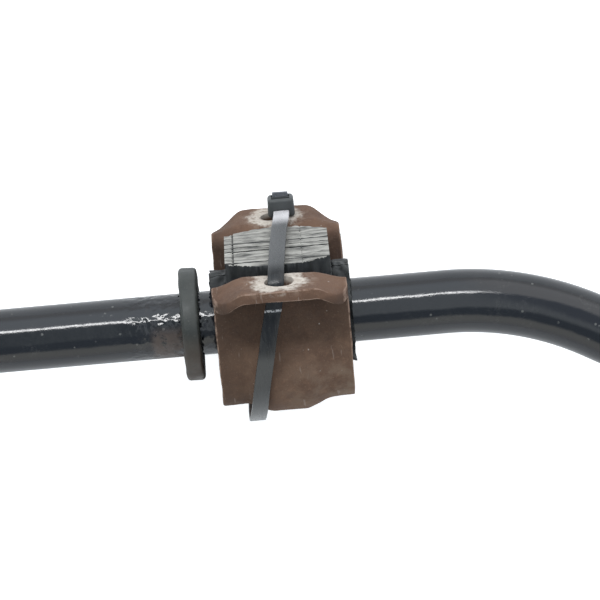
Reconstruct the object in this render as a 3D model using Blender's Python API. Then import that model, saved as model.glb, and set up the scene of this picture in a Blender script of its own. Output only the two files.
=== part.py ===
"""Sway bar with stop collars and bushed, cable-tied bracket mounts.

Metres, +Z up. The straight centre section runs along X, both arms reach towards -Y and
slope down until the forged eyes meet the ground. Each mount is built in its own frame:
x along the bar, n out of the bracket's mounting faces, f from one flange to the other.
"""
import math

import bmesh
import bpy
from mathutils import Vector

# Bar: round section, bent twice on each side, flattened into an eye at each end.
BAR_RADIUS = 0.010
BAR_SEGMENTS = 20
STRAIGHT_HALF = 0.3520
BEND_1_ANGLE = math.radians(29)
BEND_1_RADIUS = 0.097
SHOULDER_LENGTH = 0.060
BEND_2_ANGLE = math.radians(49)
BEND_2_RADIUS = 0.060
ARM_LENGTH = 0.175
EYE_HALF_WIDTH = 0.017
EYE_HALF_THICK = 0.00475
EYE_EDGE_RADIUS = 0.0016
EYE_HOLE_RADIUS = 0.006
EYE_FORGED_LENGTH = 0.048

# Mounts: placed symmetrically, each one turned on the bar as it lies on the ground.
# The axis is the middle of the straight section, set back so the whole bar is centred.
MOUNT_X = 0.300
MOUNT_ANGLE = math.radians(21.7)
AXIS_HEIGHT = 0.03185
AXIS_Y = 0.11362

# Stop collar: inboard of each mount.
COLLAR_OFFSET = 0.0290
COLLAR_RADIUS = 0.0180
COLLAR_WIDTH = 0.0057
COLLAR_EDGE = 0.0014
FIT_GAP = 0.0003

# Bracket: pressed steel saddle with two drilled flanges.
SHEET = 0.0035
BRACKET_HALF_WIDTH = 0.0210
INNER_HALF = 0.0205
INNER_CORNER = 0.0105
MOUTH_RADIUS = 0.0065
FLANGE_TOP = 0.0230
FLANGE_END = 0.0420
FLANGE_CORNER = 0.013
HOLE_OFFSET = 0.0324
HOLE_RADIUS = 0.0046
BEAD_HEIGHT = 0.0030
BEAD_FLAT = 0.005
BEAD_EDGE = 0.014
DROOP_ROOT = 0.0024
DROOP_END = 0.0062
DROOP_START = 0.0110
DROOP_FULL = 0.0205

# Bushing: split rubber block that fills the bracket around the bar.
BUSHING_ENDS = (0.0208, 0.0219)
PAD_HALF = 0.0167
PAD_TOP = 0.0239
PAD_EDGES = (0.0204, 0.0195)
PAD_TAPER = 0.0056
PAD_FOOT = 0.0184
LIP_RADIUS = 0.0163
SLIT_CENTRE = 0.0032
SLIT_HALF = 0.0004
GROOVES = (0.0008, 0.0046)
GROOVE_HALF = 0.0005
GROOVE_DEPTH = 0.0009

# Cable tie: strap over the pad, through both flange holes and round the saddle.
STRAP_WIDTH = 0.0048
STRAP_THICK = 0.0013
STRAP_STEPS = 72
HEAD_SIZE = (0.0088, 0.0062, 0.0070)
HEAD_CENTRE = (0.0025, 0.0264, -0.0326)
APERTURE = (0.0060, 0.0100, 0.0021)
APERTURE_F = -0.0330
# Waypoints (x, n, f) of the strap's middle, from its root in the head to its free tail.
STRAP_ROUTE = (
    (0.0025, 0.0250, -0.0300), (0.0024, 0.0256, -0.0254), (0.0022, 0.0261, -0.0200),
    (0.0014, 0.0263, -0.0090), (0.0005, 0.0261, 0.0060), (-0.0001, 0.0258, 0.0190),
    (-0.0006, 0.0250, 0.0276), (-0.0010, 0.0222, 0.0314), (-0.0015, 0.0182, 0.0322),
    (-0.0023, 0.0150, 0.0328), (-0.0032, 0.0116, 0.0333), (-0.0045, 0.0060, 0.0333),
    (-0.0056, 0.0004, 0.0329), (-0.0067, -0.0050, 0.0317), (-0.0083, -0.0135, 0.0289),
    (-0.0095, -0.0210, 0.0250), (-0.0104, -0.0265, 0.0188), (-0.0109, -0.0298, 0.0096),
    (-0.0108, -0.0296, -0.0040), (-0.0096, -0.0282, -0.0116), (-0.0080, -0.0232, -0.0226),
    (-0.0064, -0.0140, -0.0278), (-0.0046, -0.0020, -0.0283), (-0.0018, 0.0090, -0.0290),
    (0.0006, 0.0160, -0.0312), (0.0016, 0.0200, -0.0324), (0.0018, 0.0230, -0.0330),
    (0.0024, 0.0268, -0.0330), (0.0025, 0.0308, -0.0330),
)


def clear_scene():
    """Remove every object that the scene starts with."""
    for obj in list(bpy.data.objects):
        bpy.data.objects.remove(obj, do_unlink=True)


def material(name, colour, metallic, roughness):
    """Return a Principled material."""
    mat = bpy.data.materials.new(name)
    mat.use_nodes = True
    shader = mat.node_tree.nodes["Principled BSDF"]
    shader.inputs["Base Color"].default_value = (*colour, 1.0)
    shader.inputs["Metallic"].default_value = metallic
    shader.inputs["Roughness"].default_value = roughness
    mat.diffuse_color = (*colour, 1.0)
    return mat


def add_mesh(name, points, faces, mat):
    """Make an object from points and faces, with its normals facing out."""
    mesh = bpy.data.meshes.new(name)
    work = bmesh.new()
    corners = [work.verts.new(point) for point in points]
    for face in faces:
        work.faces.new([corners[index] for index in face])
    bmesh.ops.recalc_face_normals(work, faces=work.faces)
    bmesh.ops.triangulate(work, faces=work.faces, ngon_method="EAR_CLIP")
    work.to_mesh(mesh)
    work.free()
    mesh.materials.append(mat)
    mesh.shade_smooth()
    mesh.set_sharp_from_angle(angle=math.radians(35))
    obj = bpy.data.objects.new(name, mesh)
    bpy.context.scene.collection.objects.link(obj)
    return obj


def loft(name, rings, mat):
    """Join equal closed rings into a capped solid."""
    count = len(rings[0])
    points = [point for ring in rings for point in ring]
    faces = []
    for row in range(len(rings) - 1):
        for col in range(count):
            after = (col + 1) % count
            low = row * count
            high = low + count
            faces.append((low + col, low + after, high + after, high + col))
    faces.append(tuple(range(count)))
    faces.append(tuple(range(len(points) - count, len(points))))
    return add_mesh(name, points, faces, mat)


def smooth(value, low, high):
    """Ease from 0 at low to 1 at high."""
    ratio = min(1.0, max(0.0, (value - low) / (high - low)))
    return ratio * ratio * (3 - 2 * ratio)


def boolean(target, other, operation):
    """Cut or join a hidden helper object."""
    other.hide_render = True
    other.display_type = "WIRE"
    step = target.modifiers.new(other.name, "BOOLEAN")
    step.operation = operation
    step.solver = "EXACT"
    step.object = other


def cylinder(name, centre, direction, radius, length, mat):
    """Make a helper cylinder about a centre."""
    side = direction.orthogonal().normalized()
    cross = direction.cross(side).normalized()
    rings = []
    for end in (-0.5, 0.5):
        ring = []
        for index in range(32):
            turn = math.tau * (index + 0.5) / 32
            arm = side * math.cos(turn) + cross * math.sin(turn)
            ring.append(centre + direction * (length * end) + arm * radius)
        rings.append(ring)
    return loft(name, rings, mat)


def block(name, size, centre, mat):
    """Make a box."""
    rings = []
    for end in (-0.5, 0.5):
        ring = []
        for across, along in ((-0.5, -0.5), (0.5, -0.5), (0.5, 0.5), (-0.5, 0.5)):
            offset = (size[0] * across, size[1] * end, size[2] * along)
            ring.append(Vector(centre) + Vector(offset))
        rings.append(ring)
    return loft(name, rings, mat)


# ---------------------------------------------------------------- bar
def arc_points(start, heading, turn, radius, steps):
    """Points along an arc in the plane of the bar, without its first point."""
    points = []
    for index in range(1, steps + 1):
        angle = heading + turn * index / steps
        along = radius * (math.sin(angle) - math.sin(heading))
        across = radius * (math.cos(heading) - math.cos(angle))
        points.append(((start[0] + along, start[1] + across), angle))
    return points


def half_route():
    """Stations (point, heading, distance to the eye's centre) of one half of the bar."""
    route = [((0.0, 0.0), 0.0), ((STRAIGHT_HALF, 0.0), 0.0)]
    route += arc_points(route[-1][0], 0.0, BEND_1_ANGLE, BEND_1_RADIUS, 8)
    point, heading = route[-1]
    corner = (point[0] + SHOULDER_LENGTH * math.cos(heading),
              point[1] + SHOULDER_LENGTH * math.sin(heading))
    route.append((corner, heading))
    route += arc_points(corner, heading, BEND_2_ANGLE, BEND_2_RADIUS, 10)
    point, heading = route[-1]
    stations = [(place, angle, 1.0) for place, angle in route]
    before = [EYE_FORGED_LENGTH * (1 - index / 8) for index in range(8)]
    after = [-EYE_HALF_WIDTH * math.sin(math.radians(12 * index)) for index in range(8)]
    for left in before + after:
        reach = ARM_LENGTH - left
        place = (point[0] + reach * math.cos(heading), point[1] + reach * math.sin(heading))
        stations.append((place, heading, left))
    return stations


def bar_section(left):
    """Half width, half thickness and edge radius at a distance from the eye's centre."""
    forged = 1 - smooth(left, 0.014, EYE_FORGED_LENGTH)
    half_width = BAR_RADIUS + (EYE_HALF_WIDTH - BAR_RADIUS) * forged
    thin = 1 - smooth(left, 0.020, EYE_FORGED_LENGTH)
    half_thick = BAR_RADIUS + (EYE_HALF_THICK - BAR_RADIUS) * thin
    edge = BAR_RADIUS + (EYE_EDGE_RADIUS - BAR_RADIUS) * thin
    if left < 0:
        half_width = math.sqrt(EYE_HALF_WIDTH ** 2 - left ** 2)
    return half_width, half_thick, min(edge, half_width, half_thick)


def bar_ring(place, heading, left, side, slope):
    """One closed cross-section of the bar."""
    half_width, half_thick, edge = bar_section(left)
    reach = Vector((0, -math.cos(slope), -math.sin(slope)))
    up = Vector((0, -math.sin(slope), math.cos(slope)))
    centre = Vector((side * place[0], AXIS_Y, AXIS_HEIGHT)) + reach * place[1]
    across = reach * math.cos(heading) - Vector((side * math.sin(heading), 0, 0))
    per_corner = BAR_SEGMENTS // 4
    ring = []
    for corner in range(4):
        for index in range(per_corner):
            turn = math.pi / 2 * (corner + (index + 0.5) / per_corner)
            mid_w = math.copysign(half_width - edge, math.cos(turn))
            mid_t = math.copysign(half_thick - edge, math.sin(turn))
            wide = mid_w + edge * math.cos(turn)
            high = mid_t + edge * math.sin(turn)
            ring.append(centre + across * wide + up * high)
    return ring


def make_bar(mat):
    """The bar in one piece, eye to eye."""
    stations = half_route()
    eye = [place for place, _, left in stations if left == 0][0]
    tip = stations[-1][0][1]
    slope = math.asin((AXIS_HEIGHT - EYE_HALF_THICK) / tip)
    left_half = [bar_ring(*station, -1, slope) for station in reversed(stations[1:])]
    right_half = [bar_ring(*station, 1, slope) for station in stations[1:]]
    bar = loft("bar", left_half + right_half, mat)
    for label, side in (("left", -1), ("right", 1)):
        up = Vector((0, -math.sin(slope), math.cos(slope)))
        reach = Vector((0, -math.cos(slope), -math.sin(slope)))
        centre = Vector((side * eye[0], AXIS_Y, AXIS_HEIGHT)) + reach * eye[1]
        hole = cylinder("cut_eye_" + label, centre, up, EYE_HOLE_RADIUS, 0.03, mat)
        boolean(bar, hole, "DIFFERENCE")
    return bar


# ---------------------------------------------------------------- collars
def make_collar(name, centre_x, mat):
    """A ring that stops the mount sliding inboard."""
    half = COLLAR_WIDTH / 2
    inner = BAR_RADIUS + FIT_GAP
    profile = [(-half, inner), (half, inner)]
    for side in (1, -1):
        for index in range(4):
            turn = math.radians(30 * index)
            if side < 0:
                turn = math.pi / 2 - turn
            along = side * (half - COLLAR_EDGE + COLLAR_EDGE * math.cos(turn))
            profile.append((along, COLLAR_RADIUS - COLLAR_EDGE + COLLAR_EDGE * math.sin(turn)))
    count = 36
    size = len(profile)
    points = []
    for index in range(count):
        turn = math.tau * index / count
        for along, radius in profile:
            points.append((along, radius * math.cos(turn), radius * math.sin(turn)))
    faces = []
    for index in range(count):
        ahead = (index + 1) % count
        for step in range(size):
            after = (step + 1) % size
            faces.append((index * size + step, index * size + after,
                          ahead * size + after, ahead * size + step))
    collar = add_mesh(name, points, faces, mat)
    collar.location = (centre_x, AXIS_Y, AXIS_HEIGHT)
    return collar


# ---------------------------------------------------------------- bracket
def bead(across):
    """Height of the stiffening bead across the bracket's width, from 0 to 1."""
    return 1 - smooth(abs(across), BEAD_FLAT, BEAD_EDGE)


def half_saddle(offset):
    """Points (n, f, normal n, normal f, bead weight) of half the U, wall top to middle."""
    points = []
    for index in range(7):
        level = 0.017 - 0.027 * index / 6
        weight = 1 - smooth(level, -0.010, 0.006)
        points.append((level, INNER_HALF - offset, 0.0, 1.0, weight))
    for index in range(1, 7):
        turn = math.radians(15 * index)
        radius = INNER_CORNER - offset
        points.append((-0.010 - radius * math.sin(turn), 0.010 + radius * math.cos(turn),
                       -math.sin(turn), math.cos(turn), 1.0))
    return points


def sheet_profile(across):
    """Inner-face points (n, f, normal n, normal f, shift) of the sheet at one width."""
    beyond = max(0.0, abs(across) - (BRACKET_HALF_WIDTH - FLANGE_CORNER))
    end = FLANGE_END - FLANGE_CORNER + math.sqrt(FLANGE_CORNER ** 2 - beyond ** 2)
    fold = smooth(abs(across), DROOP_START, DROOP_FULL)
    droop = DROOP_ROOT * fold
    root = INNER_HALF + MOUTH_RADIUS
    half = []
    for index in range(4):
        place = end + (root - end) * index / 3
        extra = (DROOP_END - DROOP_ROOT) * (place - root) / (FLANGE_END - root)
        half.append((FLANGE_TOP, place, -1.0, 0.0, droop + extra * fold))
    for index in range(1, 5):
        turn = math.radians(90 * index / 5)
        half.append((FLANGE_TOP - MOUTH_RADIUS * (1 - math.cos(turn)),
                     root - MOUTH_RADIUS * math.sin(turn),
                     -math.cos(turn), math.sin(turn), droop))
    for level, out, normal_n, normal_f, weight in half_saddle(0.0):
        shift = droop * smooth(level, 0.006, 0.018) + BEAD_HEIGHT * bead(across) * weight
        half.append((level, out, normal_n, normal_f, shift))
    mirrored = [(n, -f, nn, -nf, shift) for n, f, nn, nf, shift in reversed(half)]
    return half + mirrored


def make_bracket(name, mat):
    """A pressed saddle with bead, turned-down flange ends and bolt holes."""
    widths = [0.0, 0.006, 0.008, 0.011, 0.014, 0.0165, 0.0188, BRACKET_HALF_WIDTH]
    widths = [-width for width in reversed(widths[1:])] + widths
    rings = []
    for across in widths:
        profile = sheet_profile(across)
        inner = [(across, n + nn * shift, f + nf * shift) for n, f, nn, nf, shift in profile]
        outer = [(across, n + nn * (shift + SHEET), f + nf * (shift + SHEET))
                 for n, f, nn, nf, shift in profile]
        rings.append(inner + list(reversed(outer)))
    bracket = loft(name, rings, mat)
    for label, side in (("near", 1), ("far", -1)):
        centre = Vector((0, FLANGE_TOP, side * HOLE_OFFSET))
        hole = cylinder("cut_" + name + "_" + label, centre, Vector((0, 1, 0)),
                        HOLE_RADIUS, 0.02, mat)
        hole.parent = bracket
        boolean(bracket, hole, "DIFFERENCE")
    return bracket


# ---------------------------------------------------------------- bushing
def half_pad(side, across):
    """Pad points (n, f) from the slit to the pad's foot on one side."""
    narrow = PAD_TAPER * min(1.0, abs(across) / PAD_HALF) ** 2
    edge = PAD_EDGES[0 if side > 0 else 1] - narrow
    points = [(PAD_TOP, side * SLIT_CENTRE + SLIT_HALF)]
    for groove in GROOVES if side < 0 else ():
        points.append((PAD_TOP, groove - GROOVE_HALF))
        points.append((PAD_TOP - GROOVE_DEPTH, groove))
        points.append((PAD_TOP, groove + GROOVE_HALF))
    points += [(PAD_TOP, edge - 0.0010), (PAD_TOP - 0.0010, edge)]
    points.append((PAD_FOOT, min(edge + 0.0004, 0.0199)))
    return points


def clip_to_lip(level, out):
    """Pull a point in to the round lip at the bushing's ends."""
    reach = math.hypot(level, out)
    factor = min(1.0, LIP_RADIUS / reach)
    return level * factor, out * factor


def bushing_ring(across, raised):
    """One closed cross-section of the split bushing."""
    outline = []
    for side in (1, -1):
        flank = [(level, side * out) for level, out in half_pad(side, across)]
        for level, out, normal_n, normal_f, weight in half_saddle(FIT_GAP):
            shift = BEAD_HEIGHT * bead(across) * weight
            flank.append((level + normal_n * shift, side * (out + normal_f * shift)))
        if not raised:
            flank = [clip_to_lip(level, out) for level, out in flank]
        if side < 0:
            flank.reverse()
        outline += flank
    bore = BAR_RADIUS + FIT_GAP
    first = math.asin((SLIT_CENTRE - SLIT_HALF) / bore)
    last = math.asin((SLIT_CENTRE + SLIT_HALF) / bore) - math.tau
    for index in range(33):
        turn = first + (last - first) * index / 32
        outline.append((bore * math.cos(turn), bore * math.sin(turn)))
    return [(across, level, out) for level, out in outline]


def make_bushing(name, mirror, mat):
    """A split rubber block with a raised, grooved pad and round end lips."""
    widths = [0.0, 0.006, 0.008, 0.011, 0.014, PAD_HALF - 0.0002]
    widths = [-width for width in reversed(widths[1:])] + widths
    rings = [bushing_ring(across, True) for across in widths]
    near, far = BUSHING_ENDS
    start = PAD_HALF + 0.0002
    rings += [bushing_ring(start, False), bushing_ring(far, False)]
    rings = [bushing_ring(-near, False), bushing_ring(-start, False)] + rings
    rings = [[(point[0] * mirror, point[1], point[2]) for point in ring] for ring in rings]
    return loft(name, rings, mat)


# ---------------------------------------------------------------- cable tie
def spline(points, steps):
    """Evenly numbered points on a smooth curve through the waypoints."""
    ends = [points[0]] + list(points) + [points[-1]]
    spans = len(points) - 1
    route = []
    for step in range(steps + 1):
        place = spans * step / steps
        first = min(int(place), spans - 1)
        t = place - first
        a, b, c, d = (Vector(point) for point in ends[first:first + 4])
        curve = 2 * b + (c - a) * t + (2 * a - 5 * b + 4 * c - d) * t ** 2
        route.append((curve + (3 * b - a - 3 * c + d) * t ** 3) / 2)
    return route


def make_tie(name, mirror, mat):
    """Head and strap in one moulding, the tail passing up through the head."""
    route = spline(STRAP_ROUTE, STRAP_STEPS)
    rings = []
    for index, place in enumerate(route):
        ahead = route[min(index + 1, STRAP_STEPS)] - route[max(index - 1, 0)]
        ahead.normalize()
        wide = Vector((1, 0, 0)) - ahead * ahead.x
        wide.normalize()
        thick = ahead.cross(wide)
        ring = []
        for across, out in ((-0.5, -0.5), (0.5, -0.5), (0.5, 0.5), (-0.5, 0.5)):
            point = place + wide * STRAP_WIDTH * across + thick * STRAP_THICK * out
            ring.append(Vector((point.x * mirror, point.y, point.z)))
        rings.append(ring)
    centre = (HEAD_CENTRE[0] * mirror, HEAD_CENTRE[1], HEAD_CENTRE[2])
    opening = (HEAD_CENTRE[0] * mirror, HEAD_CENTRE[1], APERTURE_F)
    tie = block(name, HEAD_SIZE, centre, mat)
    slot = block("cut_" + name, APERTURE, opening, mat)
    strap = loft("strap_" + name, rings, mat)
    for helper, operation in ((slot, "DIFFERENCE"), (strap, "UNION")):
        helper.parent = tie
        boolean(tie, helper, operation)
    return tie


def place(obj, mount_x):
    """Put a mount piece on the bar's axis, turned to its resting angle."""
    obj.location = (mount_x, AXIS_Y, AXIS_HEIGHT)
    obj.rotation_euler = (MOUNT_ANGLE, 0, 0)


clear_scene()
paint = material("gloss_black_paint", (0.012, 0.013, 0.016), 0.0, 0.22)
dull = material("dull_collar", (0.075, 0.080, 0.076), 0.0, 0.60)
rust = material("rusted_steel", (0.120, 0.072, 0.048), 0.3, 0.75)
rubber = material("dusty_rubber", (0.040, 0.042, 0.042), 0.0, 0.85)
nylon = material("black_nylon", (0.050, 0.052, 0.054), 0.0, 0.45)
make_bar(paint)
for label, side in (("left", -1), ("right", 1)):
    make_collar("collar_" + label, side * (MOUNT_X - COLLAR_OFFSET), dull)
    place(make_bracket("bracket_" + label, rust), side * MOUNT_X)
    place(make_bushing("bushing_" + label, side, rubber), side * MOUNT_X)
    place(make_tie("cable_tie_" + label, side, nylon), side * MOUNT_X)
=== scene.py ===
"""Looks of the sway bar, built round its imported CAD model. Metres, +Z up."""

import math

import bmesh
import bpy
from mathutils import Matrix, Vector, noise


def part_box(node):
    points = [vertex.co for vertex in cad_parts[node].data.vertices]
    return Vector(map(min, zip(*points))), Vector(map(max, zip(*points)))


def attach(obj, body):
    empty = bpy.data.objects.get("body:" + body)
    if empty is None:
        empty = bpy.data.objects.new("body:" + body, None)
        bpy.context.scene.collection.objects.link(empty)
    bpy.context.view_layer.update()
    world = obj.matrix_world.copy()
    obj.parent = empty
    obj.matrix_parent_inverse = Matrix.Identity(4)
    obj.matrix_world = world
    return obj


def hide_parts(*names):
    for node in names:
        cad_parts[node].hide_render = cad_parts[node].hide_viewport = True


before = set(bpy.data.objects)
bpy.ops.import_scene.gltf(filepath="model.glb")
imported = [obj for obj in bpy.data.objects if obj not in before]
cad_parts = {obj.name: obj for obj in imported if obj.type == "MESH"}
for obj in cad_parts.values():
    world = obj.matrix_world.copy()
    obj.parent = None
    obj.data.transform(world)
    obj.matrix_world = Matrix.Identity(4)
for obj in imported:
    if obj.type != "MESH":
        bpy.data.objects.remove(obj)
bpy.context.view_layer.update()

# ---------------------------------------------------------------- sizes
# Millimetres from here on, as in the CAD except where a comment says otherwise.
MM = 0.001
COLLAR_LOW, COLLAR_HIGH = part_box("collar_right")
AXIS_Y = (COLLAR_LOW.y + COLLAR_HIGH.y) / 2
AXIS_Z = (COLLAR_LOW.z + COLLAR_HIGH.z) / 2
COLLAR_X = (COLLAR_LOW.x + COLLAR_HIGH.x) / 2
MOUNT_X = sum(corner.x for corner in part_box("bracket_right")) / 2
MOUNT_ANGLE = math.radians(21.7)

BAR_RADIUS = 10.15  # 0.15 more than in the CAD
STRAIGHT_HALF = 352.0
BEND_1 = (math.radians(29), 97.0)
SHOULDER_LENGTH = 60.0
BEND_2 = (math.radians(49), 60.0)
ARM_LENGTH = 175.0
EYE_HALF_WIDTH = 17.0
EYE_HALF_THICK = 4.75
EYE_EDGE = 1.6
EYE_HOLE = 6.0
EYE_FORGED = 48.0
PLAIN_BAR = 999.0  # any distance from the eye where the bar is plain round
BAR_CORNER_POINTS = 18

COLLAR_HALF = 2.85
COLLAR_INNER = 10.25
COLLAR_OUTER = 18.0
COLLAR_EDGE = 1.2
COLLAR_SIDES = 144

SHEET = 3.5
HALF_WIDTH = 21.0
INNER_HALF = 20.5
INNER_CORNER = 10.5
CORNER_CENTRE = 10.0
MOUTH_RADIUS = 6.5
FLANGE_TOP = 23.0
FLANGE_END = 42.0
FLANGE_CORNER = 13.0
HOLE_OFFSET = 32.4
HOLE_RADIUS = 4.6
BEAD_HEIGHT = 3.0
DROOP_ROOT = 2.4
DROOP_END = 6.2
EDGE = 0.5

PAD_TOP = 23.9
PAD_HALF = 16.6
RIB_EDGE = 13.9
BUSHING_ENDS = (20.8, 21.9)
PAD_EDGES = (20.6, 19.6)
PAD_TAPER = 5.6
PAD_FOOT = 18.4
LIP_RADIUS = 16.3
SLIT_CENTRE = 3.2
SLIT_HALF = 0.42
# Place, half width and depth of each groove: along the bar, then across it.
PAD_GROOVES = ((-13.6, 0.35, 0.20), (-4.6, 0.45, 0.9), (-0.8, 0.5, 1.1), (14.2, 0.45, 1.0))
PAD_CROSS_GROOVES = ((-RIB_EDGE, 0.40, 0.55), (7.9, 0.22, 0.30))


# ---------------------------------------------------------------- mesh helpers
def smooth(value, low, high):
    """Ease from 0 at low to 1 at high."""
    ratio = min(1.0, max(0.0, (value - low) / (high - low)))
    return ratio * ratio * (3 - 2 * ratio)


def spread(low, high, count):
    """Evenly spaced values, both ends included."""
    return [low + (high - low) * index / (count - 1) for index in range(count)]


def make_object(name, points, faces, material, sharp=None):
    """An object in millimetre points, stored in metres, smooth-shaded."""
    mesh = bpy.data.meshes.new(name)
    work = bmesh.new()
    corners = [work.verts.new(Vector(point) * MM) for point in points]
    for face in faces:
        work.faces.new([corners[index] for index in face])
    bmesh.ops.recalc_face_normals(work, faces=work.faces)
    work.to_mesh(mesh)
    work.free()
    mesh.materials.append(material)
    mesh.shade_smooth()
    if sharp:
        mesh.set_sharp_from_angle(angle=math.radians(sharp))
    obj = bpy.data.objects.new(name, mesh)
    bpy.context.scene.collection.objects.link(obj)
    return obj


def ring_faces(rows, columns, closed_rows=False):
    """Quads between neighbouring closed rings."""
    faces = []
    last = rows if closed_rows else rows - 1
    for row in range(last):
        low = row * columns
        high = ((row + 1) % rows) * columns
        for column in range(columns):
            after = (column + 1) % columns
            faces.append((low + column, low + after, high + after, high + column))
    return faces


def loft(name, rings, material, sharp=None):
    """Join equal closed rings into a capped solid."""
    count = len(rings[0])
    points = [point for ring in rings for point in ring]
    faces = ring_faces(len(rings), count)
    faces.append(tuple(range(count)))
    faces.append(tuple(range(len(points) - count, len(points))))
    return make_object(name, points, faces, material, sharp)


def crease(obj, sharp):
    """Smooth shading, kept sharp at edges over an angle in degrees."""
    obj.data.shade_smooth()
    obj.data.set_sharp_from_angle(angle=math.radians(sharp))


def apply_modifiers(obj):
    """Store the evaluated mesh as the object's own."""
    bpy.context.view_layer.update()
    graph = bpy.context.evaluated_depsgraph_get()
    mesh = bpy.data.meshes.new_from_object(obj.evaluated_get(graph))
    obj.modifiers.clear()
    obj.data = mesh


def cut(target, cutters, operation="DIFFERENCE"):
    """Apply exact booleans and delete the helpers."""
    for cutter in cutters:
        step = target.modifiers.new(cutter.name, "BOOLEAN")
        step.operation = operation
        step.solver = "EXACT"
        step.object = cutter
    apply_modifiers(target)
    for cutter in cutters:
        bpy.data.objects.remove(cutter, do_unlink=True)


def cylinder(name, centre, direction, radius, length, material, count=72):
    """A closed helper cylinder about a centre."""
    side = direction.orthogonal().normalized()
    cross = direction.cross(side).normalized()
    rings = []
    for end in (-0.5, 0.5):
        ring = []
        for index in range(count):
            turn = math.tau * (index + 0.5) / count
            arm = side * math.cos(turn) + cross * math.sin(turn)
            ring.append(centre + direction * (length * end) + arm * radius)
        rings.append(ring)
    return loft(name, rings, material)


def bevel(obj, width, segments=3, angle=50):
    """Round the sharp edges and keep the result."""
    step = obj.modifiers.new("edges", "BEVEL")
    step.width = width * MM
    step.segments = segments
    step.limit_method = "ANGLE"
    step.angle_limit = math.radians(angle)
    step.use_clamp_overlap = True
    apply_modifiers(obj)


def rumple(obj, size, height, seed=0.0):
    """Push points in and out along their normals by soft noise."""
    mesh = obj.data
    normals = [vertex.normal.copy() for vertex in mesh.vertices]
    for vertex, normal in zip(mesh.vertices, normals):
        place = vertex.co / (size * MM) + Vector((seed, seed * 0.7, seed * 1.3))
        vertex.co += normal * (noise.noise(place) * height * MM)


def in_mount(obj, side):
    """Place a piece made in a mount's own frame, and let it ride with the mount."""
    obj.location = (side * MOUNT_X, AXIS_Y, AXIS_Z)
    obj.rotation_euler = (MOUNT_ANGLE, 0, 0)
    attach(obj, "right_mount" if side > 0 else "left_mount")


# ---------------------------------------------------------------- material helpers
class Graph:
    """A Principled material with short names for the nodes used here."""

    def __init__(self, name):
        self.material = bpy.data.materials.new(name)
        self.material.use_nodes = True
        self.tree = self.material.node_tree
        self.shader = self.tree.nodes["Principled BSDF"]
        coordinates = self.tree.nodes.new("ShaderNodeTexCoord")
        self.normal = coordinates.outputs["Normal"]
        scale = self.tree.nodes.new("ShaderNodeVectorMath")
        scale.operation = "SCALE"
        scale.inputs["Scale"].default_value = 1000.0
        self.tree.links.new(coordinates.outputs["Object"], scale.inputs[0])
        self.place = scale.outputs[0]

    def feed(self, socket, value):
        """Link a socket, or set it when the value is plain."""
        if isinstance(value, bpy.types.NodeSocket):
            self.tree.links.new(value, socket)
        elif isinstance(value, (tuple, list)) and len(socket.default_value) == 4:
            socket.default_value = (*value[:3], 1.0)
        else:
            socket.default_value = value

    def math(self, operation, first, second=0.0, third=0.0):
        node = self.tree.nodes.new("ShaderNodeMath")
        node.operation = operation
        for index, value in enumerate((first, second, third)):
            self.feed(node.inputs[index], value)
        return node.outputs[0]

    def split(self, vector):
        node = self.tree.nodes.new("ShaderNodeSeparateXYZ")
        self.feed(node.inputs[0], vector)
        return node.outputs

    def stretch(self, vector, factors):
        node = self.tree.nodes.new("ShaderNodeVectorMath")
        node.operation = "MULTIPLY"
        self.feed(node.inputs[0], vector)
        node.inputs[1].default_value = factors
        return node.outputs[0]

    def noise(self, size, detail=4.0, rough=0.55, vector=None, twist=0.0):
        """Noise whose features are about size millimetres."""
        node = self.tree.nodes.new("ShaderNodeTexNoise")
        self.feed(node.inputs["Vector"], vector or self.place)
        node.inputs["Scale"].default_value = 1.0 / size
        node.inputs["Detail"].default_value = detail
        node.inputs["Roughness"].default_value = rough
        node.inputs["Distortion"].default_value = twist
        return node.outputs["Fac"]

    def cells(self, size):
        """Distance to the nearest of scattered points about size millimetres apart."""
        node = self.tree.nodes.new("ShaderNodeTexVoronoi")
        self.feed(node.inputs["Vector"], self.place)
        node.inputs["Scale"].default_value = 1.0 / size
        return node.outputs["Distance"]

    def band(self, value, low, high, start=0.0, end=1.0):
        """Smooth step of a value from low to high."""
        node = self.tree.nodes.new("ShaderNodeMapRange")
        node.interpolation_type = "SMOOTHSTEP"
        self.feed(node.inputs["Value"], value)
        node.inputs["From Min"].default_value = low
        node.inputs["From Max"].default_value = high
        node.inputs["To Min"].default_value = start
        node.inputs["To Max"].default_value = end
        return node.outputs["Result"]

    def mix(self, factor, first, second):
        node = self.tree.nodes.new("ShaderNodeMix")
        node.data_type = "RGBA"
        self.feed(node.inputs["Factor"], factor)
        self.feed(node.inputs[6], first)
        self.feed(node.inputs[7], second)
        return node.outputs[2]

    def product(self, *values):
        result = values[0]
        for value in values[1:]:
            result = self.math("MULTIPLY", result, value)
        return result

    def bump(self, height, distance, strength=1.0, below=None):
        node = self.tree.nodes.new("ShaderNodeBump")
        node.inputs["Strength"].default_value = strength
        node.inputs["Distance"].default_value = distance * MM
        self.feed(node.inputs["Height"], height)
        if below:
            self.feed(node.inputs["Normal"], below)
        return node.outputs["Normal"]

    def finish(self, colour, roughness, normal=None, **values):
        self.feed(self.shader.inputs["Base Color"], colour)
        self.feed(self.shader.inputs["Roughness"], roughness)
        if normal:
            self.feed(self.shader.inputs["Normal"], normal)
        for name, value in values.items():
            self.shader.inputs[name.replace("_", " ")].default_value = value
        return self.material


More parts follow.
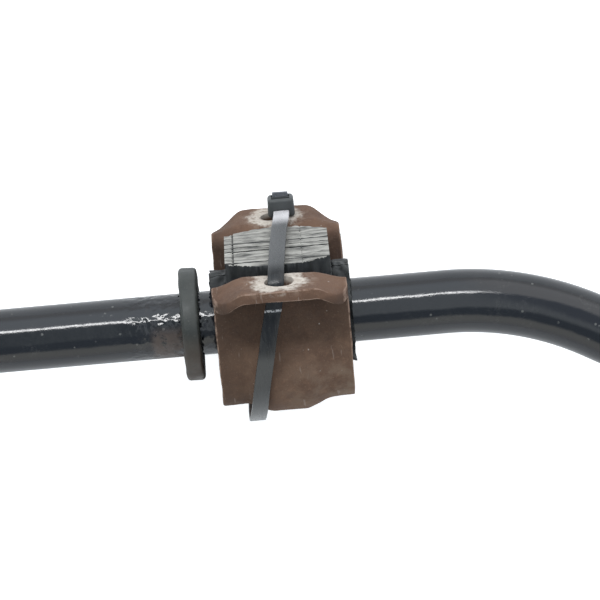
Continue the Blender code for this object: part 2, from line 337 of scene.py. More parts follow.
def black_paint():
    """Thick gloss black paint, slightly lumpy, dusty, dirty beside the collars."""
    g = Graph("black_gloss_paint")
    x, y = g.split(g.place)[0:2]
    flow = g.noise(9.0, 2.0, 0.5, g.stretch(g.place, (0.5, 1.0, 1.0)))
    orange = g.noise(1.6, 2.0, 0.5)
    distance = g.math("SUBTRACT", g.math("ABSOLUTE", x), COLLAR_X / MM)
    inboard = g.product(g.band(distance, -34.0, -6.0), g.band(distance, 6.0, 1.0))
    grit = g.noise(0.9, 6.0, 0.7)
    lower = g.band(g.math("SUBTRACT", y, AXIS_Y / MM), 0.5, -4.0)
    dirt = g.product(inboard, lower, g.band(g.noise(7.0, 5.0, 0.65), 0.46, 0.66),
                     g.band(grit, 0.35, 0.6))
    brown = g.product(g.band(distance, -14.0, -11.0), g.band(distance, 2.0, 0.0), lower,
                      g.band(g.noise(3.2, 5.0, 0.7), 0.30, 0.52))
    dust = g.product(g.band(g.noise(14.0, 6.0, 0.7), 0.50, 0.74), g.band(grit, 0.45, 0.62))
    specks = g.product(g.band(g.cells(3.4), 0.16, 0.08), g.band(g.noise(5.0, 3.0), 0.50, 0.58))
    colour = g.mix(g.product(dust, 0.35), (0.0055, 0.0065, 0.0095), (0.085, 0.085, 0.080))
    colour = g.mix(g.product(specks, 0.45), colour, (0.16, 0.16, 0.15))
    colour = g.mix(g.product(dirt, 0.35), colour, (0.060, 0.058, 0.055))
    colour = g.mix(g.product(brown, 0.8), colour, (0.066, 0.046, 0.037))
    rough = g.math("ADD", g.band(dust, 0.0, 1.0, 0.10, 0.22), g.product(specks, 0.3))
    rough = g.math("ADD", rough, g.product(dirt, 0.15))
    rough = g.math("ADD", rough, g.product(brown, 0.35))
    normal = g.bump(flow, 0.30, 0.55)
    normal = g.bump(orange, 0.022, 0.5, normal)
    lumps = g.product(g.noise(2.3, 1.0, 0.4), g.band(distance, -24.0, -14.0),
                      g.band(distance, 12.0, 0.0))
    normal = g.bump(lumps, 0.45, 1.0, normal)
    normal = g.bump(g.product(g.band(grit, 0.3, 0.8), g.math("ADD", g.product(brown, 0.6), 0.12)),
                    0.10, 0.7, normal)
    return g.finish(colour, rough, normal)


def dull_collar():
    """Matt dark grey-green ring with dirt on it."""
    g = Graph("dull_grey_collar")
    y = g.split(g.place)[1]
    cloud = g.noise(6.0, 5.0, 0.65)
    fine = g.noise(0.8, 5.0, 0.7)
    colour = g.mix(g.band(cloud, 0.35, 0.70), (0.016, 0.019, 0.017), (0.038, 0.041, 0.037))
    colour = g.mix(g.product(g.band(fine, 0.55, 0.75), 0.35), colour, (0.11, 0.11, 0.10))
    low = g.band(g.math("SUBTRACT", y, AXIS_Y / MM), -1.0, -13.0)
    brown = g.product(low, g.band(g.noise(5.0, 5.0, 0.7), 0.30, 0.55, 0.55, 1.0))
    colour = g.mix(g.product(brown, 0.85), colour, (0.040, 0.026, 0.017))
    rough = g.band(cloud, 0.3, 0.7, 0.42, 0.68)
    normal = g.bump(cloud, 0.10, 0.5)
    normal = g.bump(fine, 0.05, 0.6, normal)
    return g.finish(colour, rough, normal)


def rusted_steel():
    """Brown rusted sheet steel with pale washer prints, specks and scratches, worn edges with a
    painted highlight, and painted shade on the wall.
    """
    g = Graph("rusted_bracket_steel")
    x, n, f = g.split(g.place)
    cloud = g.noise(8.0, 6.0, 0.62)
    patch = g.noise(3.0, 6.0, 0.68, twist=0.4)
    grit = g.noise(0.55, 5.0, 0.75)
    colour = g.mix(g.band(cloud, 0.32, 0.68), (0.090, 0.052, 0.035), (0.122, 0.074, 0.049))
    colour = g.mix(g.product(g.band(patch, 0.50, 0.70), 0.5), colour, (0.175, 0.106, 0.072))
    colour = g.mix(g.product(g.band(patch, 0.44, 0.30), 0.35), colour, (0.058, 0.034, 0.026))
    dusty = g.product(g.band(x, -6.0, 16.0), g.band(n, -2.0, -16.0), g.band(cloud, 0.42, 0.62))
    colour = g.mix(g.product(dusty, 0.5), colour, (0.155, 0.120, 0.092))
    # Painted shade: darker up the wall below the flange, and along its inboard side.
    shade = g.product(g.band(n, -12.0, 17.0), g.band(n, 20.2, 18.6))
    colour = g.mix(g.product(shade, 0.62), colour, (0.036, 0.021, 0.015))
    # Painted shade along the wall's inboard side.
    shade = g.band(x, -10.0, -20.0)
    colour = g.mix(g.product(shade, 0.45), colour, (0.045, 0.027, 0.018))
    flange = g.band(n, 16.4, 19.5)
    colour = g.mix(g.product(flange, g.band(cloud, 0.2, 0.6), 0.4), colour, (0.130, 0.070, 0.046))
    colour = g.mix(g.product(g.band(grit, 0.56, 0.74), 0.55), colour, (0.210, 0.150, 0.115))
    scratch = g.noise(1.3, 2.0, 0.5, g.stretch(g.place, (1.0, 0.16, 0.16)))
    colour = g.mix(g.product(g.band(scratch, 0.68, 0.74), 0.35), colour, (0.26, 0.21, 0.18))
    chips = g.product(g.band(g.cells(3.4), 0.11, 0.06), g.band(g.noise(4.0, 3.0), 0.50, 0.56))
    # Lighter edges along the flanges' ends and sides: edge wear, and a painted highlight on their
    # rounded corners.
    turned = g.split(g.normal)
    wide, tall, deep = (g.math("ABSOLUTE", part) for part in turned)
    end = g.product(tall, deep, g.band(g.math("ABSOLUTE", f), 38.0, 40.0))
    flank = g.product(wide, g.math("MAXIMUM", tall, deep), g.band(g.math("ABSOLUTE", x), 18.5, 20.2))
    worn_edge_and_highlight = g.band(g.math("MAXIMUM", end, flank), 0.12, 0.40)
    worn_edge_and_highlight = g.product(worn_edge_and_highlight, g.band(g.noise(2.4, 4.0, 0.6), 0.36, 0.54))
    colour = g.mix(g.product(worn_edge_and_highlight, 0.6), colour, (0.310, 0.215, 0.165))
    colour = g.mix(g.product(chips, 0.7), colour, (0.34, 0.30, 0.27))
    # Pale print left by the bolt's washer round each hole, only on the outer faces.
    across = g.math("SUBTRACT", g.math("ABSOLUTE", f), HOLE_OFFSET)
    wobble = g.math("MULTIPLY", g.math("SUBTRACT", g.noise(4.2, 4.0, 0.7), 0.5), 9.0)
    radius = g.math("SQRT", g.math("ADD", g.math("POWER", x, 2.0), g.math("POWER", across, 2.0)))
    radius = g.math("ADD", radius, wobble)
    top = g.band(n, FLANGE_TOP - 2.4, FLANGE_TOP - 0.5)
    print_mask = g.product(g.band(radius, 9.8, 7.4), top,
                           g.band(g.noise(3.0, 5.0, 0.7), 0.32, 0.52, 0.25, 1.0))
    colour = g.mix(g.product(print_mask, 0.9), colour, (0.51, 0.465, 0.41))
    halo = g.product(g.band(radius, 13.0, 9.0), top, g.band(patch, 0.46, 0.6))
    colour = g.mix(g.product(halo, 0.40), colour, (0.27, 0.215, 0.175))
    rough = g.band(patch, 0.3, 0.7, 0.70, 0.90)
    normal = g.bump(patch, 0.22, 0.7)
    normal = g.bump(grit, 0.10, 0.8, normal)
    return g.finish(colour, rough, normal, Specular_IOR_Level=0.22)


def dusty_rubber():
    """Black rubber, its raised pad grey with dust except in the grooves."""
    g = Graph("dusty_black_rubber")
    x, n, f = g.split(g.place)
    wipe = g.noise(5.0, 6.0, 0.7, g.stretch(g.place, (0.35, 1.0, 1.0)))
    fine = g.noise(0.7, 5.0, 0.7)
    raised = g.band(n, PAD_TOP - 0.55, PAD_TOP - 0.10)
    facing = g.band(g.split(g.normal)[1], 0.35, 0.75)
    across = g.band(f, 19.0, 18.0)
    dust = g.product(raised, facing, across, g.band(wipe, 0.18, 0.42, 0.62, 1.0),
                     g.band(fine, 0.20, 0.50, 0.8, 1.0))
    black = g.mix(g.band(wipe, 0.35, 0.7), (0.006, 0.007, 0.008), (0.016, 0.018, 0.018))
    streak = g.noise(3.0, 6.0, 0.7, g.stretch(g.place, (0.22, 1.0, 1.0)))
    pale = g.mix(g.band(streak, 0.32, 0.62), (0.045, 0.045, 0.043), (0.350, 0.340, 0.312))
    colour = g.mix(dust, black, pale)
    lips = g.product(g.band(g.math("ABSOLUTE", x), 20.0, 22.0), g.band(fine, 0.5, 0.7))
    colour = g.mix(g.product(lips, 0.3), colour, (0.14, 0.14, 0.13))
    rough = g.band(dust, 0.0, 1.0, 0.50, 0.92)
    normal = g.bump(wipe, 0.20, 0.5)
    normal = g.bump(fine, 0.09, 0.6, normal)
    return g.finish(colour, rough, normal, Specular_IOR_Level=0.3)


def satin_nylon():
    """Black nylon, scuffed grey, painted paler where such a strap catches the light."""
    g = Graph("satin_black_nylon")
    n, f = g.split(g.place)[1:3]
    along = g.stretch(g.place, (1.0, 0.15, 0.15))
    scuff = g.noise(2.0, 5.0, 0.65, along)
    fine = g.noise(0.5, 4.0, 0.6)
    colour = g.mix(g.band(scuff, 0.35, 0.7), (0.009, 0.010, 0.012), (0.024, 0.025, 0.026))
    head = g.band(f, -28.6, -29.4)
    colour = g.mix(head, colour, (0.060, 0.063, 0.063))
    # Painted highlight on the cut tail and the top edge of the head.
    colour = g.mix(g.product(g.band(n, 29.4, 29.7), 0.8), colour, (0.125, 0.130, 0.145))
    # Painted highlights: paler by the head, in a thin line under the flange and down the lower part.
    sheen_by_head = g.product(g.band(f, -10.0, -22.0), g.band(f, -28.9, -28.7), g.band(n, 22.0, 24.0))
    colour = g.mix(g.product(sheen_by_head, 0.9), colour, (0.62, 0.60, 0.61))
    # Painted highlight: a thin pale line across the strap just below the flange.
    line = g.product(g.band(n, 13.5, 13.8), g.band(n, 14.5, 14.2), g.band(f, 0.0, 10.0))
    colour = g.mix(g.product(line, g.band(fine, 0.40, 0.55), 0.9), colour, (0.55, 0.55, 0.56))
    # Painted sheen down the strap's lower part, paler still towards the bottom of the saddle.
    lower = g.product(g.band(n, 1.0, -3.5), g.band(f, -4.0, 0.0))
    colour = g.mix(g.product(lower, 0.7), colour, (0.060, 0.061, 0.060))
    colour = g.mix(g.product(lower, g.band(n, -12.0, -27.0), 0.8), colour, (0.150, 0.150, 0.150))
    colour = g.mix(g.product(g.band(fine, 0.60, 0.75), 0.3), colour, (0.10, 0.10, 0.097))
    rough = g.band(scuff, 0.3, 0.7, 0.20, 0.34)
    rough = g.math("ADD", rough, g.product(head, 0.25))
    normal = g.bump(scuff, 0.05, 0.5)
    normal = g.bump(fine, 0.03, 0.5, normal)
    return g.finish(colour, rough, normal, Specular_IOR_Level=0.28)


PAINT = black_paint()
COLLAR = dull_collar()
RUST = rusted_steel()
RUBBER = dusty_rubber()
NYLON = satin_nylon()


# ---------------------------------------------------------------- bar
def bar_route():
    """Stations (u, v, heading, distance to the eye's centre) of one half, in mm."""
    stations = [(value, 0.0, 0.0, PLAIN_BAR) for value in spread(0.0, STRAIGHT_HALF, 90)]
    u, v, heading = STRAIGHT_HALF, 0.0, 0.0
    for index, (turn, radius) in enumerate((BEND_1, BEND_2)):
        if index:
            for step in spread(2.0, SHOULDER_LENGTH, 16):
                stations.append((u + step * math.cos(heading),
                                 v + step * math.sin(heading), heading, PLAIN_BAR))
            u, v = stations[-1][:2]
        for angle in spread(heading, heading + turn, 29)[1:]:
            along = radius * (math.sin(angle) - math.sin(heading))
            across = radius * (math.cos(heading) - math.cos(angle))
            stations.append((u + along, v + across, angle, PLAIN_BAR))
        u, v, heading = stations[-1][:3]
    tip = [EYE_HALF_WIDTH * math.sin(math.radians(turn)) for turn in spread(0, 85, 24)]
    for left in spread(ARM_LENGTH - 2.0, 0.5, 80) + [-value for value in tip]:
        reach = ARM_LENGTH - left
        stations.append((u + reach * math.cos(heading), v + reach * math.sin(heading),
                         heading, left))
    return stations


def bar_section(left):
    """Half width, half thickness and edge radius at a distance from the eye's centre."""
    forged = 1 - smooth(left, 14.0, EYE_FORGED)
    thin = 1 - smooth(left, 20.0, EYE_FORGED)
    half_width = BAR_RADIUS + (EYE_HALF_WIDTH - BAR_RADIUS) * forged
    half_thick = BAR_RADIUS + (EYE_HALF_THICK - BAR_RADIUS) * thin
    edge = BAR_RADIUS + (EYE_EDGE - BAR_RADIUS) * thin
    if left < 0:
        half_width = math.sqrt(EYE_HALF_WIDTH ** 2 - left ** 2)
    return half_width, half_thick, min(edge, half_width, half_thick)


def bar_ring(station, side, slope):
    """One closed cross-section of the bar."""
    u, v, heading, left = station
    half_width, half_thick, edge = bar_section(left)
    reach = Vector((0, -math.cos(slope), -math.sin(slope)))
    up = Vector((0, -math.sin(slope), math.cos(slope)))
    centre = Vector((side * u, AXIS_Y / MM, AXIS_Z / MM)) + reach * v
    across = reach * math.cos(heading) - Vector((side * math.sin(heading), 0, 0))
    ring = []
    for corner in range(4):
        for index in range(BAR_CORNER_POINTS):
            turn = math.pi / 2 * (corner + (index + 0.5) / BAR_CORNER_POINTS)
            wide = math.copysign(half_width - edge, math.cos(turn)) + edge * math.cos(turn)
            high = math.copysign(half_thick - edge, math.sin(turn)) + edge * math.sin(turn)
            ring.append(centre + across * wide + up * high)
    return ring


def make_bar():
    """The whole bar, from eye to eye."""
    stations = bar_route()
    eye = [station for station in stations if station[3] == 0][0]
    slope = math.asin((AXIS_Z / MM - EYE_HALF_THICK) / (stations[-1][1]))
    rings = [bar_ring(station, -1, slope) for station in reversed(stations[1:])]
    rings += [bar_ring(station, 1, slope) for station in stations]
    bar = loft("bar_painted", rings, PAINT, 40)
    up = Vector((0, -math.sin(slope), math.cos(slope)))
    reach = Vector((0, -math.cos(slope), -math.sin(slope)))
    holes = []
    for side in (-1, 1):
        centre = Vector((side * eye[0], AXIS_Y / MM, AXIS_Z / MM)) + reach * eye[1]
        holes.append(cylinder("eye_hole", centre, up, EYE_HOLE, 30, PAINT))
    cut(bar, holes)
    crease(bar, 40)
    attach(bar, "bar")
    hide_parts("bar")


def make_collar(label, side):
    """The ring beside a mount, with well-rounded shoulders."""
    half, inner, edge = COLLAR_HALF, COLLAR_INNER, COLLAR_EDGE
    profile = [(-half + 0.5, inner), (half - 0.5, inner), (half, inner + 0.5)]
    for start, end in ((0, 1), (90, -1)):
        for turn in spread(start, start + 90, 9):
            angle = math.radians(turn)
            profile.append((end * (half - edge) + edge * math.cos(angle),
                            COLLAR_OUTER - edge + edge * math.sin(angle)))
    profile.append((-half, inner + 0.5))
    rings = []
    for index in range(COLLAR_SIDES):
        turn = math.tau * index / COLLAR_SIDES
        rings.append([(along, radius * math.cos(turn), radius * math.sin(turn))
                      for along, radius in profile])
    points = [point for ring in rings for point in ring]
    faces = ring_faces(COLLAR_SIDES, len(profile), closed_rows=True)
    collar = make_object("collar_ring_" + label, points, faces, COLLAR, 50)
    rumple(collar, 5.0, 0.22, 3.0 * side)
    collar.data.transform(Matrix.Translation((side * COLLAR_X, AXIS_Y, AXIS_Z)))
    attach(collar, "bar")
    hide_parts("collar_" + label)


# ---------------------------------------------------------------- bracket
def half_saddle(gap, wall, corner):
    """Points (n, f, normal n, normal f, bead weight) of half the U, wall top to corner."""
    points = []
    for level in spread(17.0, -10.0, wall):
        weight = 1 - smooth(level, -10.0, 6.0)
        points.append((level, INNER_HALF - gap, 0.0, 1.0, weight))
    for turn in spread(0, 90, corner)[1:]:
        angle = math.radians(turn)
        radius = INNER_CORNER - gap
        points.append((-CORNER_CENTRE - radius * math.sin(angle),
                       CORNER_CENTRE + radius * math.cos(angle),
                       -math.sin(angle), math.cos(angle), 1.0))
    return points


def bead(across):
    """Height of the pressed bead across the bracket, from 0 to 1."""
    return 1 - smooth(abs(across), 4.6, 14.0)


def sheet_profile(across, shorten=0.0):
    """Inner-face points (n, f, normal n, normal f, shift) of the sheet at one width."""
    beyond = max(0.0, abs(across) - (HALF_WIDTH - FLANGE_CORNER))
    corner = math.sqrt(max(0.0, FLANGE_CORNER ** 2 - beyond ** 2))
    end = FLANGE_END - FLANGE_CORNER + corner - shorten
    fold = smooth(abs(across), 10.5, 20.8)
    droop = DROOP_ROOT * fold
    root = INNER_HALF + MOUTH_RADIUS
    half = []
    for place in spread(end, root, 22):
        extra = (DROOP_END - DROOP_ROOT) * (place - root) / (FLANGE_END - root)
        half.append((FLANGE_TOP, place, -1.0, 0.0, droop + extra * fold))
    for turn in spread(0, 90, 14)[1:-1]:
        angle = math.radians(turn)
        half.append((FLANGE_TOP - MOUTH_RADIUS * (1 - math.cos(angle)),
                     root - MOUTH_RADIUS * math.sin(angle),
                     -math.cos(angle), math.sin(angle), droop))
    for level, out, normal_n, normal_f, weight in half_saddle(0.0, 28, 18):
        shift = droop * smooth(level, 6.0, 18.0) + BEAD_HEIGHT * bead(across) * weight
        half.append((level, out, normal_n, normal_f, shift))
    floor = [(-INNER_HALF, value, -1.0, 0.0, BEAD_HEIGHT * bead(across))
             for value in spread(CORNER_CENTRE, -CORNER_CENTRE, 14)[1:-1]]
    mirrored = [(n, -f, nn, -nf, shift) for n, f, nn, nf, shift in reversed(half)]
    return half + floor + mirrored


def sheet_ring():
    """Places (x, depth) round the sheet's section: inner face, edge, outer face, edge."""
    widths = spread(-HALF_WIDTH + EDGE, HALF_WIDTH - EDGE, 57)
    arc = [math.radians(turn) for turn in spread(0, 90, 5)[1:]]
    edge = [(EDGE * math.sin(turn), EDGE * (1 - math.cos(turn))) for turn in arc]
    limit = HALF_WIDTH - EDGE
    right = [(limit + out, deep) for out, deep in edge]
    right += [(limit + out, SHEET - deep) for out, deep in reversed(edge)]
    left = [(-x, SHEET - deep) for x, deep in right]
    inner = [(x, 0.0) for x in widths]
    outer = [(x, SHEET) for x in reversed(widths)]
    return inner + right + outer + left, len(widths)


def make_bracket(label, side):
    """Pressed steel saddle with rounded edges, bead, drooped flange ends and holes."""
    section, count = sheet_ring()
    columns = []
    for x, deep in section:
        profile = sheet_profile(x, EDGE)
        columns.append([(x, n + nn * (shift + deep), f + nf * (shift + deep))
                        for n, f, nn, nf, shift in profile])
    rings = [[column[row] for column in columns] for row in range(len(columns[0]))]
    ends = []
    for turn in spread(0, 90, 5)[1:]:
        angle = math.radians(turn)
        inset = EDGE * (1 - math.cos(angle))
        ring = []
        for x, deep in section:
            n, f, nn, nf, shift = sheet_profile(x, EDGE * (1 - math.sin(angle)))[0]
            depth = SHEET / 2 + (deep - SHEET / 2) * (1 - 2 * inset / SHEET)
            ring.append((x, n - (shift + depth), f))
        ends.append(ring)
    rings = list(reversed(ends)) + rings
    rings += [[(x, n, -f) for x, n, f in ring] for ring in ends]
    size = len(section)
    points = [point for ring in rings for point in ring]
    faces = ring_faces(len(rings), size)
    turnover = (size - 2 * count) // 2
    for start in (0, len(points) - size):
        for index in range(count - 1):
            far = 2 * count + turnover - 1 - index
            faces.append((start + index, start + index + 1, start + far - 1, start + far))
        faces.append(tuple(start + count - 1 + step for step in range(turnover + 2)))
        tail = [start + 2 * count + turnover - 1 + step for step in range(turnover + 1)]
        faces.append(tuple(tail + [start]))
    bracket = make_object("bracket_sheet_" + label, points, faces, RUST)
    rumple(bracket, 9.0, 0.35, 2.0 + side)
    rumple(bracket, 2.2, 0.10, 5.0 + side)
    holes = [cylinder("hole", Vector((0, FLANGE_TOP, sign * HOLE_OFFSET)), Vector((0, 1, 0)),
                      HOLE_RADIUS, 20, RUST) for sign in (1, -1)]
    cut(bracket, holes)
    bevel(bracket, 0.35)
    bracket.data.shade_smooth()
    in_mount(bracket, side)
    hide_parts("bracket_" + label)


# ---------------------------------------------------------------- bushing
def pad_level(across, out):
    """Height of the pad's face at one place, with its grooves, ribs and worn edges."""
    level = PAD_TOP
    for place, half, deep in PAD_GROOVES:
        level -= deep * max(0.0, 1 - abs(out - place) / half)
    for place, half, deep in PAD_CROSS_GROOVES:
        level -= deep * max(0.0, 1 - abs(across - place) / half)
    rough = noise.noise(Vector((across * 0.45, out * 0.7, 3.1)))
    level += 0.16 * rough
    ragged = 0.9 * noise.noise(Vector((across * 0.5, math.copysign(3.0, out), 8.0)))
    full = PAD_EDGES[0 if out > 0 else 1] - 1.0
    edge = full - PAD_TAPER * (abs(across) / PAD_HALF) ** 2 + ragged
    return level + (PAD_FOOT - level) * smooth(abs(out), edge, edge + 1.1)


def pad_outs():
    """Sample places across the pad on each side of the slit, denser at the grooves."""
    outs = set(round(value, 2) for value in spread(-19.8, 19.8, 133))
    for place in (groove[0] for groove in PAD_GROOVES):
        for step in (-0.45, -0.22, 0.0, 0.22, 0.45):
            outs.add(round(place + step, 2))
    outs = [value for value in sorted(outs) if abs(value - SLIT_CENTRE) > SLIT_HALF + 0.15]
    near = [value for value in outs if value > SLIT_CENTRE]
    far = [value for value in outs if value < SLIT_CENTRE]
    return [SLIT_CENTRE + SLIT_HALF] + near, [SLIT_CENTRE - SLIT_HALF] + far[::-1]


def clip_to_lip(across, level, out):
    """Pull a point in to the ragged round lip at the bushing's ends."""
    reach = math.hypot(level, out)
    turn = Vector((level, out)) / reach * 1.6
    ragged = noise.noise(Vector((turn.x * 2.6, turn.y * 2.6, across * 0.6)))
    factor = min(1.0, (LIP_RADIUS + 0.7 * ragged) / reach)
    return level * factor, out * factor


def bushing_ring(across, raised, outs):
    """One closed cross-section of the split bushing."""
    outline = []
    for side, row in ((1, outs[0]), (-1, outs[1])):
        flank = [(pad_level(across, out), out) for out in row]
        flank += [(n + nn * BEAD_HEIGHT * bead(across) * weight,
                   side * (f + nf * BEAD_HEIGHT * bead(across) * weight))
                  for n, f, nn, nf, weight in half_saddle(0.3, 26, 16)]
        if not raised:
            flank = [clip_to_lip(across, n, f) for n, f in flank]
        if side < 0:
            flank.reverse()
        outline += flank
    bore = BAR_RADIUS + 0.12
    low = math.asin((SLIT_CENTRE - SLIT_HALF) / bore)
    high = math.asin((SLIT_CENTRE + SLIT_HALF) / bore)
    for turn in spread(low, high - math.tau, 73):
        outline.append((bore * math.cos(turn), bore * math.sin(turn)))
    return [(across, level, out) for level, out in outline]


def make_bushing(label, side):
    """Split rubber block with a grooved, raised pad and ragged end lips."""
    outs = pad_outs()
    inboard = spread(PAD_HALF + 0.15, BUSHING_ENDS[0], 12)
    ends = spread(PAD_HALF + 0.15, BUSHING_ENDS[1], 12)
    rings = [bushing_ring(-value, False, outs) for value in reversed(inboard)]
    rings += [bushing_ring(value, True, outs)
              for value in spread(-PAD_HALF + 0.1, PAD_HALF - 0.1, 100)]
    rings += [bushing_ring(value, False, outs) for value in ends]
    size = len(rings[0])
    points = [list(point) for ring in rings for point in ring]
    for point in points:
        limit = BUSHING_ENDS[1 if point[0] > 0 else 0]
        if abs(point[0]) > limit - 2.0:
            reach = smooth(abs(point[0]), limit - 2.0, limit)
            tear = noise.noise(Vector((point[1] * 0.5, point[2] * 0.5, point[0] * 0.1)))
            if point[0] < 0:
                tear += 1.3 * smooth(point[1] - point[2], 1.0, 8.0)
            point[0] += math.copysign(reach * (0.9 * tear - 0.1), point[0])
        point[0] *= side
    faces = ring_faces(len(rings), size)
    faces.append(tuple(range(size)))
    faces.append(tuple(range(len(points) - size, len(points))))
    bushing = make_object("bushing_rubber_" + label, points, faces, RUBBER, 45)
    in_mount(bushing, side)
    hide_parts("bushing_" + label)


# ---------------------------------------------------------------- cable tie
STRAP_WIDTH = 5.1  # 0.3 more than in the CAD
STRAP_THICK = 1.25  # 0.05 less than in the CAD
HEAD_CENTRE = (2.5, 26.4, -32.6)
HEAD_SIZE = (8.8, 6.2, 7.0)
APERTURE_F = -33.0
STRAP_ROUTE = (
    (2.5, 25.0, -30.0), (2.4, 25.6, -25.4), (2.2, 26.1, -20.0), (1.4, 26.3, -9.0),
    (0.5, 26.1, 6.0), (-0.1, 25.8, 19.0), (-0.6, 25.0, 27.6), (-1.0, 22.2, 31.4),
    (-1.5, 18.2, 32.2), (-2.3, 15.0, 32.8), (-3.2, 11.6, 33.3), (-4.5, 6.0, 33.3),
    (-5.6, 0.4, 32.9), (-6.7, -5.0, 31.7), (-8.3, -13.5, 28.9), (-9.5, -21.0, 25.0),
    (-10.4, -26.5, 18.8), (-10.9, -29.8, 9.6), (-10.8, -29.6, -4.0), (-9.6, -28.2, -11.6),
    (-8.0, -23.2, -22.6), (-6.4, -14.0, -27.8), (-4.6, -2.0, -28.3), (-1.8, 9.0, -29.0),
    (0.6, 16.0, -31.2), (1.6, 20.0, -32.4), (1.8, 23.0, -33.0), (2.4, 26.8, -33.0),
    (2.5, 30.8, -33.0),
)


def spline(points, steps):
    """Evenly numbered points on a smooth curve through the waypoints."""
    ends = [points[0]] + list(points) + [points[-1]]
    spans = len(points) - 1
    route = []
    for step in range(steps + 1):
        place = spans * step / steps
        first = min(int(place), spans - 1)
        t = place - first
        a, b, c, d = (Vector(point) for point in ends[first:first + 4])
        curve = 2 * b + (c - a) * t + (2 * a - 5 * b + 4 * c - d) * t ** 2
        route.append((curve + (3 * b - a - 3 * c + d) * t ** 3) / 2)
    return route


def strap_section(step):
    """Places (across, out) round the strap: rounded sides, shallow teeth inside."""
    half, thick = STRAP_WIDTH / 2, STRAP_THICK / 2
    tooth = 0.22 * (step % 2)
    outer = [(-half + 0.30, thick), (0.0, thick + 0.03), (half - 0.30, thick)]
    right = [(half - 0.09, thick - 0.09), (half, thick - 0.30), (half, -thick + 0.30),
             (half - 0.09, -thick + 0.09)]
    inner = [(half - 0.30, -thick), (half - 0.95, -thick), (half - 1.05, -thick + tooth),
             (-half + 1.05, -thick + tooth), (-half + 0.95, -thick), (-half + 0.30, -thick)]
    left = [(-half + 0.09, -thick + 0.09), (-half, -thick + 0.30), (-half, thick - 0.30),
            (-half + 0.09, thick - 0.09)]
    return outer + right + inner + left


def box_piece(name, size, centre, taper=1.0):
    """A closed box in mm, its upper (n) face scaled by the taper."""
    rings = []
    for end, scale in ((-0.5, 1.0), (0.5, taper)):
        rings.append([(centre[0] + size[0] * a * scale, centre[1] + size[1] * end,
                       centre[2] + size[2] * b * scale)
                      for a, b in ((-0.5, -0.5), (0.5, -0.5), (0.5, 0.5), (-0.5, 0.5))])
    return loft(name, rings, NYLON)


def make_tie(label, side):
    """The cable tie: a hollow head, a toothed strap and a short cut tail."""
    steps = 430
    route = spline(STRAP_ROUTE, steps)
    rings = []
    for index, place in enumerate(route):
        ahead = route[min(index + 1, steps)] - route[max(index - 1, 0)]
        ahead.normalize()
        wide = Vector((1, 0, 0)) - ahead * ahead.x
        wide.normalize()
        thick = ahead.cross(wide)
        ring = []
        for across, out in strap_section(index):
            point = place + wide * across + thick * out
            ring.append(Vector((point.x * side, point.y, point.z)))
        rings.append(ring)
    strap = loft("tie_strap", rings, NYLON)
    x, n, f = HEAD_CENTRE
    head = box_piece("tie_" + label, HEAD_SIZE, (x * side, n, f), 0.96)
    bevel(head, 1.15, 5, 30)
    slot_cut = box_piece("tie_slot", (6.0, 10.0, 2.1), (x * side, n, APERTURE_F))
    recess = box_piece("tie_recess", (6.0, 1.2, 1.6), (x * side, n + 3.2, f + 1.75))
    cut(head, [slot_cut, recess])
    cut(head, [strap], "UNION")
    crease(head, 40)
    in_mount(head, side)
    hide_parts("cable_tie_" + label)


make_bar()
for name, sign in (("left", -1), ("right", 1)):
    make_collar(name, sign)
    make_bracket(name, sign)
    make_bushing(name, sign)
    make_tie(name, sign)


# ---------------------------------------------------------------- stage, light, camera
def make_floor():
    """A white table top that glows faintly, and more to the camera than in reflections."""
    bpy.ops.mesh.primitive_plane_add(size=60.0, location=(0, 0, -0.0002))
    floor = bpy.context.active_object
    floor.name = "floor"
    material = bpy.data.materials.new("white_table")
    material.use_nodes = True
    shader = material.node_tree.nodes["Principled BSDF"]
    shader.inputs["Base Color"].default_value = (0.88, 0.88, 0.88, 1.0)
    shader.inputs["Roughness"].default_value = 0.9
    shader.inputs["Specular IOR Level"].default_value = 0.0
    shader.inputs["Emission Color"].default_value = (1.0, 1.0, 1.0, 1.0)
    rays = material.node_tree.nodes.new("ShaderNodeLightPath")
    glow = material.node_tree.nodes.new("ShaderNodeMapRange")
    glow.inputs["To Min"].default_value = 0.10
    glow.inputs["To Max"].default_value = 0.60
    material.node_tree.links.new(rays.outputs["Is Camera Ray"], glow.inputs["Value"])
    material.node_tree.links.new(glow.outputs["Result"], shader.inputs["Emission Strength"])
    floor.data.materials.append(material)


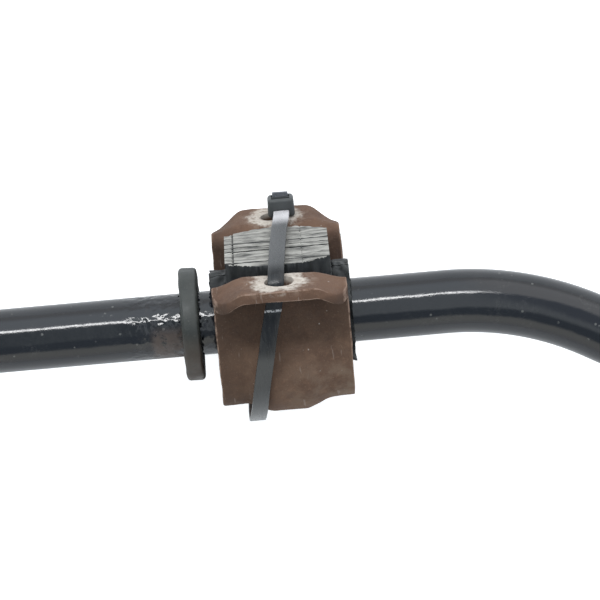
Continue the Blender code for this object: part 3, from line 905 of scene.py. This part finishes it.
def make_world():
    """A room of plain tones: bright behind, mixed overhead, dark in front, pale below."""
    world = bpy.data.worlds.new("room")
    world.use_nodes = True
    tree = world.node_tree
    tree.nodes.clear()
    output = tree.nodes.new("ShaderNodeOutputWorld")
    shade = tree.nodes.new("ShaderNodeBackground")
    where = tree.nodes.new("ShaderNodeTexCoord")
    axes = tree.nodes.new("ShaderNodeSeparateXYZ")
    tree.links.new(where.outputs["Generated"], axes.inputs[0])

    def ease(axis, low, high):
        step = tree.nodes.new("ShaderNodeMapRange")
        step.interpolation_type = "SMOOTHSTEP"
        step.inputs["From Min"].default_value = low
        step.inputs["From Max"].default_value = high
        tree.links.new(axes.outputs[axis], step.inputs["Value"])
        return step.outputs["Result"]

    def blend(factor, first, second):
        mix = tree.nodes.new("ShaderNodeMix")
        mix.data_type = "RGBA"
        tree.links.new(factor, mix.inputs["Factor"])
        for socket, value in ((mix.inputs[6], first), (mix.inputs[7], second)):
            if isinstance(value, tuple):
                socket.default_value = (*value, 1.0)
            else:
                tree.links.new(value, socket)
        return mix.outputs[2]

    overhead = blend(ease("X", -0.09, 0.03), (0.50, 0.58, 0.62), (1.34, 1.46, 1.54))
    overhead = blend(ease("X", 0.075, 0.14), overhead, (0.66, 0.74, 0.86))
    depth = blend(ease("X", 0.08, 0.30), (0.40, 0.47, 0.54), (0.60, 0.64, 0.68))
    dark = blend(ease("Z", 0.50, 0.63), (1.42, 1.44, 1.37), depth)
    front = blend(ease("Y", -0.50, -0.36), dark, overhead)
    back = blend(ease("Z", 0.10, 0.52), (1.20, 1.24, 1.28), (1.82, 1.98, 2.12))
    back = blend(ease("X", 0.06, 0.20), back, (2.05, 2.08, 2.12))
    sky = blend(ease("Y", 0.42, 0.52), front, back)
    room = blend(ease("Z", 0.08, 0.34), (1.20, 1.22, 1.22), sky)
    tree.links.new(room, shade.inputs["Color"])
    tree.links.new(shade.outputs[0], output.inputs["Surface"])
    bpy.context.scene.world = world


def make_strip(name, centre, target, size, power):
    """A long soft lamp aimed at a point, not seen by the camera itself."""
    data = bpy.data.lights.new(name, "AREA")
    data.shape = "RECTANGLE"
    data.size, data.size_y = size
    data.energy = power
    lamp = bpy.data.objects.new(name, data)
    lamp.visible_camera = False
    aim = (Vector(target) - Vector(centre)).normalized()
    lamp.matrix_world = (Matrix.Translation(centre)
                         @ aim.to_track_quat("-Z", "Y").to_matrix().to_4x4())
    bpy.context.scene.collection.objects.link(lamp)


def make_camera():
    """Almost straight down on the right mount, rolled so that the bar rises to the right."""
    data = bpy.data.cameras.new("camera")
    data.lens = 210.0
    data.sensor_width = 36.0
    data.clip_start, data.clip_end = 0.01, 100.0
    camera = bpy.data.objects.new("camera", data)
    tilt, roll, distance = math.radians(2.1), math.radians(5.08), 1.1164
    target = Vector((MOUNT_X + 0.0060, AXIS_Y + 0.0046, AXIS_Z))
    back = Vector((0, -math.sin(tilt), math.cos(tilt)))
    up = Vector((0, math.cos(tilt), math.sin(tilt)))
    right = Vector((1, 0, 0)) * math.cos(roll) - up * math.sin(roll)
    top = Vector((1, 0, 0)) * math.sin(roll) + up * math.cos(roll)
    turn = Matrix((right, top, back)).transposed().to_4x4()
    camera.matrix_world = Matrix.Translation(target + back * distance) @ turn
    bpy.context.scene.collection.objects.link(camera)
    bpy.context.scene.camera = camera


make_floor()
make_world()
STRIP_X = MOUNT_X - 0.315
make_strip("strip", (STRIP_X, AXIS_Y + 0.85, AXIS_Z + 1.6), (STRIP_X, AXIS_Y, AXIS_Z),
           (1.16, 0.15), 14.0)
make_camera()
bpy.context.scene.view_settings.view_transform = "Standard"
